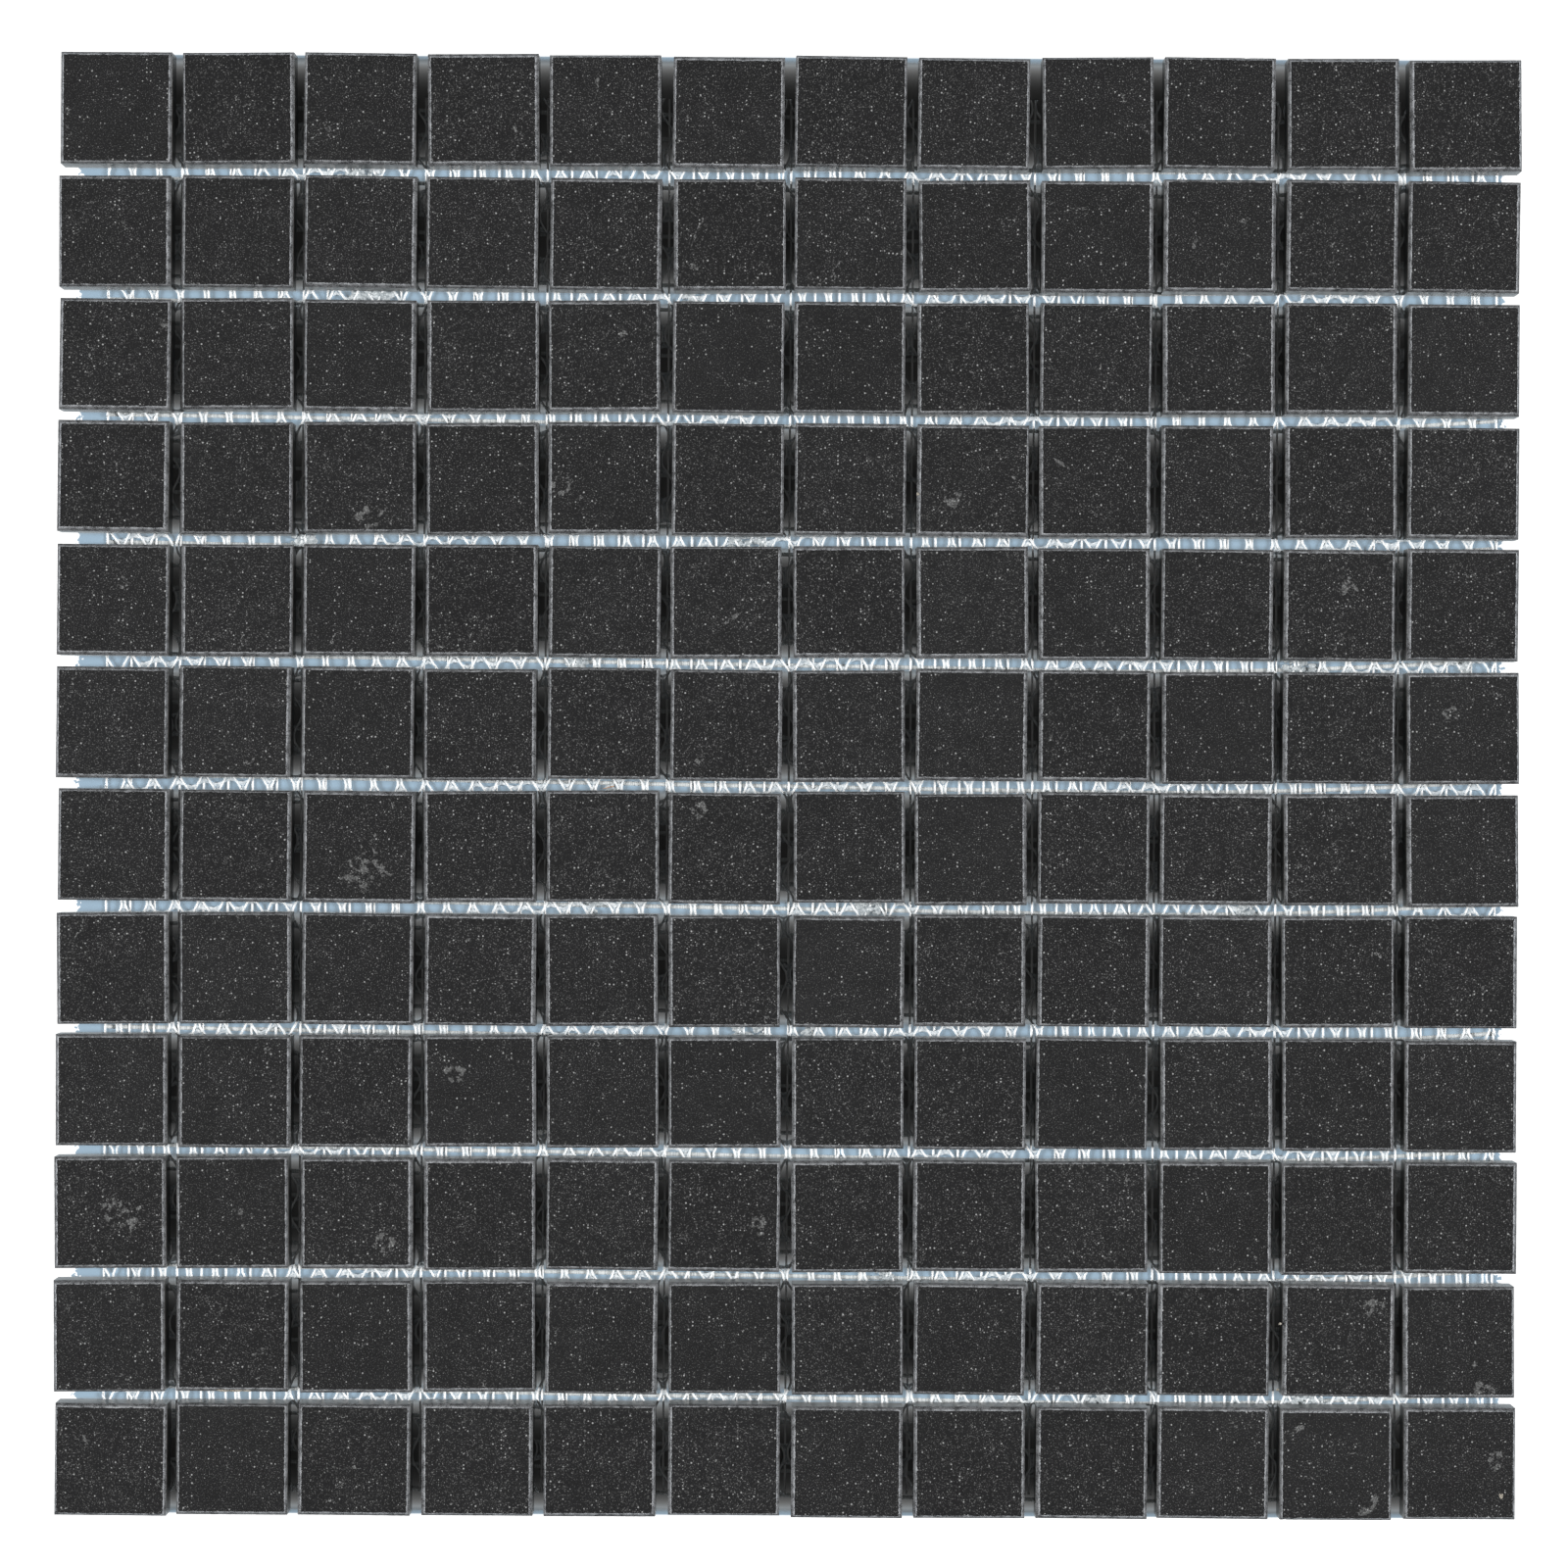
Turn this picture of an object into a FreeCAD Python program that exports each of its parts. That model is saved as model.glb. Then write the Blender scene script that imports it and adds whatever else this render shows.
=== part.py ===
import FreeCAD, Part
import math
import os

# Sheet of square black stone mosaic chips on an open mesh backing, lying face up.
# Sizes in millimetres and degrees. The origin is on the floor under the middle of the sheet,
# +X runs along a row of chips, +Y from the bottom row to the top row and +Z up to the
# polished faces.

# Chips, with the four upper arrises of each ground to a steep bevel
chips_per_side = 12
chip_side = 22.7
chip_thickness = 8.0
joint_width = 2.3
arris_width = 0.65
arris_depth = 0.9

# How far one chip differs from the next: sawing, grinding and laying by hand
saw_spread = 0.1
arris_spread = 0.2
lay_shift = 0.25
lay_turn = 0.6

# Glass-fibre scrim at the very back: a layer of wefts and a layer of warps bonded across them
scrim_pitch = 5.0
warp_width = 0.6
warp_thickness = 0.25
weft_width = 1.1
weft_thickness = 0.25

# Knitted net between the scrim and the chips, laid on the scrim at a slight angle
thread_pitch = 2.65
thread_width = 0.45
thread_thickness = 0.4
net_lean = 4.5

# Every strand is a flattened bundle: flat above and below, with sides that come to an edge
flat_share = 0.6

# How far the edges of the backing lie inside the outer edges of the chips
backing_inset_left = 8.75
backing_inset_right = 3.3
backing_inset_top = 7.8
backing_inset_bottom = 3.7

# Worked out from the sizes above
chip_pitch = chip_side + joint_width
sheet_side = chips_per_side * chip_pitch - joint_width
backing_left = backing_inset_left - sheet_side / 2
backing_right = sheet_side / 2 - backing_inset_right
backing_bottom = backing_inset_bottom - sheet_side / 2
backing_top = sheet_side / 2 - backing_inset_top
backing_width = backing_right - backing_left
backing_height = backing_top - backing_bottom
backing_middle_x = (backing_left + backing_right) / 2
backing_middle_y = (backing_bottom + backing_top) / 2
warp_bottom = weft_thickness
net_bottom = warp_bottom + warp_thickness
chip_bottom = net_bottom + thread_thickness
chip_top = chip_bottom + chip_thickness

origin = FreeCAD.Vector()
up = FreeCAD.Vector(0, 0, 1)


def uneven(row, column, trait):
    """A value from -1 to 1 for one trait of one chip. It looks random and never changes."""
    phase = 12.9898 * row + 78.233 * column + 0.37719 * sum(ord(letter) for letter in trait)
    wave = 43758.5453 * math.sin(phase)
    return 2 * (wave - math.floor(wave)) - 1


def rectangle(left, right, front, back, z):
    """A level rectangular wire."""
    corners = [(left, front), (right, front), (right, back), (left, back), (left, front)]
    return Part.makePolygon([FreeCAD.Vector(x, y, z) for x, y in corners])


def ground_chip(row, column):
    """One chip on the vertical axis, sawn square, with each upper arris ground by hand."""
    half_x = (chip_side + saw_spread * uneven(row, column, "length")) / 2
    half_y = (chip_side + saw_spread * uneven(row, column, "width")) / 2
    left, right, front, back = (
        arris_width + arris_spread * uneven(row, column, side)
        for side in ("left arris", "right arris", "front arris", "back arris")
    )
    shoulder = chip_top - arris_depth
    body = Part.makeBox(
        2 * half_x,
        2 * half_y,
        shoulder - chip_bottom,
        FreeCAD.Vector(-half_x, -half_y, chip_bottom),
    )
    crown = Part.makeLoft(
        [
            rectangle(-half_x, half_x, -half_y, half_y, shoulder),
            rectangle(left - half_x, half_x - right, front - half_y, half_y - back, chip_top),
        ],
        True,
        True,
    )
    return body.fuse(crown).removeSplitter()


def laid_chip(row, column):
    """A chip in its place, a little off the grid as the hand left it."""
    chip = ground_chip(row, column)
    middle = (chips_per_side - 1) / 2
    chip.rotate(origin, up, lay_turn * uneven(row, column, "turn"))
    chip.translate(
        FreeCAD.Vector(
            (column - middle) * chip_pitch + lay_shift * uneven(row, column, "shift right"),
            (middle - row) * chip_pitch + lay_shift * uneven(row, column, "shift back"),
            0,
        )
    )
    return chip


def strand(width, thickness, length, bottom):
    """A straight strand along Y, centred on the vertical axis, with its flat side down."""
    half_flat = flat_share * width / 2
    section = [
        (-width / 2, thickness / 2),
        (-half_flat, 0),
        (half_flat, 0),
        (width / 2, thickness / 2),
        (half_flat, thickness),
        (-half_flat, thickness),
        (-width / 2, thickness / 2),
    ]
    points = [FreeCAD.Vector(x, -length / 2, bottom + z) for x, z in section]
    return Part.Face(Part.makePolygon(points)).extrude(FreeCAD.Vector(0, length, 0))


def moved(shape, x, y):
    """A copy of the shape, moved level."""
    copy = shape.copy()
    copy.translate(FreeCAD.Vector(x, y, 0))
    return copy


def spaced(start, end, pitch, width):
    """Centres of as many strands as fit between two edges, the first one at the start."""
    count = int((end - start - width) / pitch) + 1
    return [start + width / 2 + pitch * number for number in range(count)]


def warps():
    """The scrim's narrow strands along Y."""
    warp = strand(warp_width, warp_thickness, backing_height, warp_bottom)
    places = spaced(backing_left, backing_right, scrim_pitch, warp_width)
    return [moved(warp, x, backing_middle_y) for x in places]


def wefts():
    """The scrim's wide strands along X, under the warps. They are what the sheet lies on."""
    weft = strand(weft_width, weft_thickness, backing_width, 0)
    weft.rotate(origin, up, 90)
    places = spaced(backing_bottom, backing_top, scrim_pitch, weft_width)
    return [moved(weft, backing_middle_x, y) for y in places]


def net_threads():
    """The knitted net's threads, straight and leaning, cut to the backing's outline."""
    sheet = Part.makeBox(
        backing_width,
        backing_height,
        thread_thickness,
        FreeCAD.Vector(backing_left, backing_bottom, net_bottom),
    )
    reach = math.hypot(backing_width, backing_height)
    threads_each_side = math.ceil(reach / 2 / thread_pitch)
    thread = strand(thread_width, thread_thickness, reach, net_bottom)
    threads = []
    for number in range(-threads_each_side, threads_each_side + 1):
        leaning = moved(thread, (number + 0.5) * thread_pitch, 0)
        leaning.rotate(origin, up, net_lean)
        cut = moved(leaning, backing_middle_x, backing_middle_y).common(sheet)
        threads += [piece for piece in cut.Solids if piece.BoundBox.YLength > thread_pitch]
    return threads


def write(name, solids):
    """Writes one node as a compound of solids that don't overlap."""
    node = Part.makeCompound(solids)
    node.exportStep(os.path.join("parts", name + ".step"))
    print(name, len(solids), "solids", round(node.Volume, 1), "mm3")


os.makedirs("parts", exist_ok=True)
for row in range(chips_per_side):
    chips = [laid_chip(row, column) for column in range(chips_per_side)]
    write(f"chip_row_{row + 1:02d}", chips)
write("knitted_net", net_threads())
write("scrim_warp", warps())
write("scrim_weft", wefts())
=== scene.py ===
"""Looks of a sheet of square black stone mosaic chips, bonded face up to an open mesh backing.

The chips are sawn from polished black stone with pale flecks, and each has its four upper arrises
ground by hand. Under them lie a knitted net and a glass-fibre scrim, held by a little adhesive.
"""

import logging
import math
import random
from dataclasses import dataclass, field
from enum import Enum
from typing import Any, Iterator, Mapping, Sequence

import bmesh
import bpy
from mathutils import Matrix, Vector, noise


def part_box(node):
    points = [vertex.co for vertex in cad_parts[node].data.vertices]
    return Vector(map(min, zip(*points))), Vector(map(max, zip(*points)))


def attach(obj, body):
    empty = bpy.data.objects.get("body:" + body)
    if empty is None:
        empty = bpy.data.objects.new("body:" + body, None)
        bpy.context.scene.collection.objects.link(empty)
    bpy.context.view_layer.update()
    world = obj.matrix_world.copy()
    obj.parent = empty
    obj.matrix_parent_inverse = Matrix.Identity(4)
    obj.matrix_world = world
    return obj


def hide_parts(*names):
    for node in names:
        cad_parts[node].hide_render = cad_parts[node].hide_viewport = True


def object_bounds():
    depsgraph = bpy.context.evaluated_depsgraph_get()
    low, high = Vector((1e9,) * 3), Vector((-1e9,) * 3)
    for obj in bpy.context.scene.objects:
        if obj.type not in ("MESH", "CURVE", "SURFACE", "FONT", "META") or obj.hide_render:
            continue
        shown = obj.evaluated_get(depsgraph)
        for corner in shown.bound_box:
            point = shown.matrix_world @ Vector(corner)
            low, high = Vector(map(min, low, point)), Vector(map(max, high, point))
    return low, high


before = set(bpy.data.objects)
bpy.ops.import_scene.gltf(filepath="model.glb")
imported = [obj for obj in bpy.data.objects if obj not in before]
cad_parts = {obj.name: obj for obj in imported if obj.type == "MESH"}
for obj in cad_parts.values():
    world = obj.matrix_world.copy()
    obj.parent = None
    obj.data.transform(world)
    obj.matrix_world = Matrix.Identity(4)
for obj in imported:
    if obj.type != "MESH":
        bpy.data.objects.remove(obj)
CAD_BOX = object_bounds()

log = logging.getLogger("mosaic_sheet")

MM = 0.001

# Indices of a colour Mix node's sockets, which share their names with its other sockets
MIX_A, MIX_B, MIX_RESULT = 6, 7, 2


class Channel(Enum):
    """Values that a chip's mesh carries for its stone."""

    PHASE = "chip_phase"
    CLOUD = "chip_cloud"
    CLOUD_RUN = "chip_cloud_run"
    SCRATCH = "chip_scratch"
    SCRATCH_RUN = "chip_scratch_run"
    TONE = "chip_tone"


class LampSide(Enum):
    """The two sides that the studio light comes from, as the sign of X."""

    LEFT = -1
    RIGHT = 1


def linear(hex_colour: str) -> tuple[float, float, float, float]:
    """Turn an sRGB hex colour to linear.

    Args:
        hex_colour: Six hex digits after a hash sign.

    Returns:
        Linear red, green and blue, and an alpha of 1.
    """
    shares = [int(hex_colour[start : start + 2], 16) / 255 for start in (1, 3, 5)]
    red, green, blue = (
        share / 12.92 if share <= 0.04045 else ((share + 0.055) / 1.055) ** 2.4 for share in shares
    )
    return red, green, blue, 1.0


def add_node(
    tree: bpy.types.NodeTree,
    kind: str,
    inputs: Mapping[str | int, Any] | None = None,
    **settings: Any,
) -> bpy.types.Node:
    """Add a node with its settings, its constants and its links.

    Args:
        tree: Node tree that takes the node.
        kind: The node's type name, without its ShaderNode prefix.
        inputs: Value or socket for each input, by name or index.
        **settings: The node's own properties.

    Returns:
        The new node.
    """
    node = tree.nodes.new("ShaderNode" + kind)
    for name, value in settings.items():
        setattr(node, name, value)
    for name, value in (inputs or {}).items():
        if isinstance(value, bpy.types.NodeSocket):
            tree.links.new(value, node.inputs[name])
        else:
            node.inputs[name].default_value = value
    return node


def new_material(name: str) -> tuple[bpy.types.Material, bpy.types.NodeTree]:
    """Make a material with an empty node tree.

    Args:
        name: The material's name.

    Returns:
        The material and its tree.
    """
    material = bpy.data.materials.new(name)
    material.use_nodes = True
    material.node_tree.nodes.clear()
    return material, material.node_tree


def close_material(tree: bpy.types.NodeTree, shader: bpy.types.Node) -> None:
    """Lead a shader to the material's output.

    Args:
        tree: The material's tree.
        shader: The last shader node.
    """
    add_node(tree, "OutputMaterial", {"Surface": shader.outputs[0]})


def piece_from(name: str, mesh: bpy.types.Mesh) -> bpy.types.Object:
    """Link a mesh to the scene as a piece that rides on the one body.

    Args:
        name: The piece's name.
        mesh: Its finished mesh.

    Returns:
        The piece.
    """
    mesh.name = name
    piece = bpy.data.objects.new(name, mesh)
    bpy.context.scene.collection.objects.link(piece)
    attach(piece, "root")
    return piece


def mesh_from(name: str, bm: bmesh.types.BMesh) -> bpy.types.Mesh:
    """Write a bmesh to a new mesh and free it.

    Args:
        name: The mesh's name.
        bm: The finished bmesh.

    Returns:
        The mesh.
    """
    mesh = bpy.data.meshes.new(name)
    bm.to_mesh(mesh)
    bm.free()
    return mesh


def report(piece: bpy.types.Object) -> None:
    """Log a piece's name and how many triangles it has."""
    triangles = sum(len(face.vertices) - 2 for face in piece.data.polygons)
    log.info("%s: %d triangles", piece.name, triangles)


def drift(place: Vector, feature: float, reach: float) -> Vector:
    """Smooth, repeatable wander of a point.

    Args:
        place: The point.
        feature: Distance over which the wander changes.
        reach: How far it goes at most, about.

    Returns:
        The wander as a vector.
    """
    return noise.noise_vector(place / feature) * reach


@dataclass(frozen=True)
class PolishedStone:
    """Black limestone with a machine-polished face.

    A fine, even grain, pale flecks of calcite that gather in clusters, short bent veins and now
    and then a cloudy grey patch. The polish is a satin one, so lamps leave no sharp glints.
    """

    body: str = "#161617"
    grain: str = "#6b6b6a"
    fleck: str = "#a3a4a3"
    grain_size: float = 0.27 * MM
    fleck_cell: float = 0.85 * MM
    dust_cell: float = 0.5 * MM
    cluster_size: float = 5 * MM
    vein_bend: float = 5 * MM
    cloud_rag: float = 1.7 * MM
    cloudiness: float = 0.18
    roughness: float = 0.3
    ior: float = 1.5

    def flecks(
        self,
        tree: bpy.types.NodeTree,
        place: bpy.types.NodeSocket,
        crowd: bpy.types.NodeSocket,
        cell: float,
        share: float,
        radius: float,
    ) -> bpy.types.NodeSocket:
        """Round flecks in some cells of a cellular pattern.

        Args:
            tree: The material's tree.
            place: Coordinates.
            crowd: Value from 0 to 1 that says where flecks gather.
            cell: Size of a cell.
            share: Share of the cells with a fleck, about.
            radius: A large fleck's radius as a share of its cell.

        Returns:
            Value from 0 to 1.
        """
        cells = add_node(
            tree,
            "TexVoronoi",
            {"Vector": place, "Scale": 1 / cell},
            voronoi_dimensions="2D",
        )
        chance = add_node(tree, "SeparateColor", {0: cells.outputs["Color"]})
        size = add_node(
            tree,
            "MapRange",
            {0: chance.outputs[1], 3: radius * 0.35, 4: radius},
        )
        disc = add_node(
            tree,
            "MapRange",
            {0: cells.outputs["Distance"], 1: size.outputs[0], 2: 0.0, 3: 0.0, 4: 2.2},
        )
        limit = add_node(
            tree,
            "MapRange",
            {0: crowd, 1: 0.35, 2: 0.72, 3: 1 - share * 0.5, 4: 1 - share * 2.0},
        )
        there = add_node(
            tree,
            "Math",
            {0: chance.outputs[0], 1: limit.outputs[0]},
            operation="GREATER_THAN",
        )
        return add_node(
            tree,
            "Math",
            {0: disc.outputs[0], 1: there.outputs[0]},
            operation="MULTIPLY",
            use_clamp=True,
        ).outputs[0]

    def veins(
        self, tree: bpy.types.NodeTree, place: bpy.types.NodeSocket, fine: bpy.types.NodeSocket
    ) -> bpy.types.NodeSocket:
        """Short hair-thin bent veins.

        Args:
            tree: The material's tree.
            place: Coordinates.
            fine: Fine noise that breaks the veins up.

        Returns:
            Value from 0 to 1.
        """
        bend = add_node(
            tree,
            "TexNoise",
            {"Vector": place, "Scale": 1 / self.vein_bend, "Detail": 3.0, "Roughness": 0.55},
        )
        level = add_node(tree, "Math", {0: bend.outputs[0], 1: 0.5}, operation="SUBTRACT")
        away = add_node(tree, "Math", {0: level.outputs[0]}, operation="ABSOLUTE")
        line = add_node(tree, "MapRange", {0: away.outputs[0], 1: 0.012, 2: 0.002})
        where = add_node(
            tree,
            "TexNoise",
            {"Vector": place, "Scale": 1 / self.cluster_size, "Detail": 1.0, "Distortion": 0.6},
        )
        stretch = add_node(tree, "MapRange", {0: where.outputs[0], 1: 0.6, 2: 0.68})
        broken = add_node(tree, "MapRange", {0: fine, 1: 0.42, 2: 0.6})
        run = add_node(
            tree, "Math", {0: line.outputs[0], 1: stretch.outputs[0]}, operation="MULTIPLY"
        )
        return add_node(
            tree, "Math", {0: run.outputs[0], 1: broken.outputs[0]}, operation="MULTIPLY"
        ).outputs[0]

    def mark(
        self,
        tree: bpy.types.NodeTree,
        here: bpy.types.NodeSocket,
        place: bpy.types.NodeSocket,
        spot: Channel,
        run: Channel,
        fill: float,
    ) -> bpy.types.NodeSocket:
        """Ragged pale islands round the point that the chip carries.

        Args:
            tree: The material's tree.
            here: Object coordinates.
            place: The stone's own coordinates.
            spot: Values with the mark's middle and its radius.
            run: Values with the mark's turn and how narrow it is along its run.
            fill: How closely the islands stand: 0 for a third of the ground.

        Returns:
            Value from 0 to 1.
        """
        mark = add_node(tree, "Attribute", attribute_name=spot.value)
        shape = add_node(
            tree,
            "SeparateXYZ",
            {0: add_node(tree, "Attribute", attribute_name=run.value).outputs["Vector"]},
        )
        parts = add_node(tree, "SeparateXYZ", {0: mark.outputs["Vector"]})
        centre = add_node(tree, "CombineXYZ", {0: parts.outputs[0], 1: parts.outputs[1]})
        away = add_node(
            tree, "VectorMath", {0: here, 1: centre.outputs[0]}, operation="SUBTRACT"
        )
        turned = add_node(
            tree,
            "VectorRotate",
            {"Vector": away.outputs[0], "Angle": shape.outputs[0]},
            rotation_type="Z_AXIS",
        )
        squeeze = add_node(tree, "CombineXYZ", {0: shape.outputs[1], 1: 1.0})
        level = add_node(
            tree,
            "VectorMath",
            {0: turned.outputs[0], 1: squeeze.outputs[0]},
            operation="MULTIPLY",
        )
        length = add_node(tree, "VectorMath", {0: level.outputs[0]}, operation="LENGTH")
        share = add_node(
            tree, "Math", {0: length.outputs["Value"], 1: parts.outputs[2]}, operation="DIVIDE"
        )
        rag = add_node(
            tree,
            "TexNoise",
            {"Vector": place, "Scale": 1 / self.cloud_rag, "Detail": 5.0, "Roughness": 0.62},
        )
        spread = add_node(
            tree,
            "MapRange",
            {0: share.outputs[0], 1: 0.6, 2: 1.25, 3: fill, 4: fill - 0.25},
        )
        sum_of = add_node(
            tree, "Math", {0: rag.outputs[0], 1: spread.outputs[0]}, operation="ADD"
        )
        return add_node(tree, "MapRange", {0: sum_of.outputs[0], 1: 0.53, 2: 0.57}).outputs[0]

    def material(self) -> bpy.types.Material:
        """Build the node material."""
        material, tree = new_material("polished_black_stone")
        here = add_node(tree, "TexCoord").outputs["Object"]
        phase = add_node(tree, "Attribute", attribute_name=Channel.PHASE.value)
        tone = add_node(tree, "Attribute", attribute_name=Channel.TONE.value)
        place = add_node(
            tree, "VectorMath", {0: here, 1: phase.outputs["Vector"]}, operation="ADD"
        ).outputs[0]
        fine = add_node(
            tree,
            "TexNoise",
            {"Vector": place, "Scale": 1 / self.grain_size, "Detail": 2.0, "Roughness": 0.7},
        ).outputs[0]
        crowd = add_node(
            tree,
            "TexNoise",
            {"Vector": place, "Scale": 1 / self.cluster_size, "Detail": 3.0, "Roughness": 0.6},
        ).outputs[0]
        large = self.flecks(tree, place, crowd, self.fleck_cell, 0.08, 0.26)
        small = self.flecks(tree, place, crowd, self.dust_cell, 0.048, 0.32)
        dust = add_node(tree, "Math", {0: small, 1: 0.45}, operation="MULTIPLY")
        veins = add_node(
            tree, "Math", {0: self.veins(tree, place, fine), 1: 0.55}, operation="MULTIPLY"
        )
        cloud = self.mark(tree, here, place, Channel.CLOUD, Channel.CLOUD_RUN, 0.02)
        scratch = self.mark(tree, here, place, Channel.SCRATCH, Channel.SCRATCH_RUN, 0.07)
        marks = add_node(tree, "Math", {0: cloud, 1: scratch}, operation="MAXIMUM")
        wisp = add_node(tree, "MapRange", {0: fine, 1: 0.4, 2: 0.62, 3: 0.08, 4: 0.36})
        marks = add_node(
            tree, "Math", {0: marks.outputs[0], 1: wisp.outputs[0]}, operation="MULTIPLY"
        )
        pale = add_node(
            tree, "Math", {0: dust.outputs[0], 1: veins.outputs[0]}, operation="MAXIMUM"
        )
        pale = add_node(
            tree, "Math", {0: pale.outputs[0], 1: marks.outputs[0]}, operation="MAXIMUM"
        )
        strong = add_node(tree, "Math", {0: large, 1: 0.78}, operation="MULTIPLY")
        pale = add_node(
            tree, "Math", {0: pale.outputs[0], 1: strong.outputs[0]}, operation="MAXIMUM"
        )
        grained = add_node(tree, "MapRange", {0: fine, 1: 0.57, 2: 0.735})
        ground = add_node(
            tree,
            "Mix",
            {0: grained.outputs[0], MIX_A: linear(self.body), MIX_B: linear(self.grain)},
            data_type="RGBA",
        )
        slow = add_node(
            tree,
            "MapRange",
            {0: crowd, 1: 0.3, 2: 0.7, 3: 1 - self.cloudiness, 4: 1 + self.cloudiness},
        )
        level = add_node(
            tree, "Math", {0: tone.outputs["Fac"], 1: slow.outputs[0]}, operation="MULTIPLY"
        )
        toned = add_node(
            tree,
            "VectorMath",
            {0: ground.outputs[MIX_RESULT], "Scale": level.outputs[0]},
            operation="SCALE",
        )
        colour = add_node(
            tree,
            "Mix",
            {0: pale.outputs[0], MIX_A: toned.outputs[0], MIX_B: linear(self.fleck)},
            data_type="RGBA",
        )
        gloss = add_node(
            tree, "MapRange", {0: pale.outputs[0], 3: self.roughness, 4: self.roughness + 0.25}
        )
        relief = add_node(
            tree, "Bump", {"Height": fine, "Strength": 0.08, "Distance": 0.02 * MM}
        )
        shader = add_node(
            tree,
            "BsdfPrincipled",
            {
                "Base Color": colour.outputs[MIX_RESULT],
                "Roughness": gloss.outputs[0],
                "IOR": self.ior,
                "Normal": relief.outputs[0],
            },
        )
        close_material(tree, shader)
        return material


@dataclass(frozen=True)
class GroundStone:
    """The same stone where a coarse wheel ground the arris: bruised pale grey, dull and grainy.

    Its colour grows paler towards its upper edge and darker towards the shoulder.
    """

    bruise: str = "#8f9194"
    pit: str = "#262729"
    grit: float = 0.22 * MM
    roughness: float = 0.85
    edge_heights: tuple[float, float] = (8.4 * MM, 8.85 * MM)
    edge_levels: tuple[float, float] = (0.52, 1.6)

    def material(self) -> bpy.types.Material:
        """Build the node material."""
        material, tree = new_material("ground_stone_arris")
        here = add_node(tree, "TexCoord").outputs["Object"]
        grains = add_node(
            tree,
            "TexNoise",
            {"Vector": here, "Scale": 1 / self.grit, "Detail": 3.0, "Roughness": 0.75},
        ).outputs[0]
        blotches = add_node(
            tree,
            "TexNoise",
            {"Vector": here, "Scale": 0.15 / self.grit, "Detail": 2.0},
        ).outputs[0]
        mixed = add_node(
            tree, "Math", {0: blotches, 1: 0.5, 2: grains}, operation="MULTIPLY_ADD"
        )
        share = add_node(tree, "MapRange", {0: mixed.outputs[0], 1: 0.62, 2: 0.84})
        colour = add_node(
            tree,
            "Mix",
            {0: share.outputs[0], MIX_A: linear(self.pit), MIX_B: linear(self.bruise)},
            data_type="RGBA",
        )
        # Colour scaled by height: darker at the shoulder, paler at the upper edge
        height = add_node(tree, "SeparateXYZ", {0: here})
        edge = add_node(
            tree,
            "MapRange",
            {
                0: height.outputs[2],
                1: self.edge_heights[0],
                2: self.edge_heights[1],
                3: self.edge_levels[0],
                4: self.edge_levels[1],
            },
        )
        edged = add_node(
            tree,
            "VectorMath",
            {0: colour.outputs[MIX_RESULT], "Scale": edge.outputs[0]},
            operation="SCALE",
        )
        relief = add_node(
            tree, "Bump", {"Height": grains, "Strength": 0.5, "Distance": 0.08 * MM}
        )
        shader = add_node(
            tree,
            "BsdfPrincipled",
            {
                "Base Color": edged.outputs[0],
                "Roughness": self.roughness,
                "Normal": relief.outputs[0],
            },
        )
        close_material(tree, shader)
        return material


@dataclass(frozen=True)
class SawnStone:
    """The same stone as the diamond saw left it: dark grey with level saw lines.

    The saw leaves it smooth enough to mirror the pale net at a grazing angle.
    """

    light: str = "#5e5d5a"
    dark: str = "#323231"
    line_pitch: float = 0.7 * MM
    roughness: float = 0.33

    def material(self) -> bpy.types.Material:
        """Build the node material."""
        material, tree = new_material("sawn_stone_side")
        here = add_node(tree, "TexCoord").outputs["Object"]
        stretched = add_node(tree, "Mapping", {"Vector": here, "Scale": (0.08, 0.08, 1.0)})
        lines = add_node(
            tree,
            "TexNoise",
            {"Vector": stretched.outputs[0], "Scale": 1 / self.line_pitch, "Detail": 3.0},
        ).outputs[0]
        grains = add_node(
            tree,
            "TexNoise",
            {"Vector": here, "Scale": 2 / self.line_pitch, "Detail": 3.0, "Roughness": 0.7},
        ).outputs[0]
        mixed = add_node(tree, "Math", {0: lines, 1: grains}, operation="ADD")
        share = add_node(tree, "MapRange", {0: mixed.outputs[0], 1: 0.75, 2: 1.3})
        colour = add_node(
            tree,
            "Mix",
            {0: share.outputs[0], MIX_A: linear(self.dark), MIX_B: linear(self.light)},
            data_type="RGBA",
        )
        relief = add_node(
            tree, "Bump", {"Height": mixed.outputs[0], "Strength": 0.2, "Distance": 0.05 * MM}
        )
        shader = add_node(
            tree,
            "BsdfPrincipled",
            {
                "Base Color": colour.outputs[MIX_RESULT],
                "Roughness": self.roughness,
                "Normal": relief.outputs[0],
            },
        )
        close_material(tree, shader)
        return material


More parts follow.
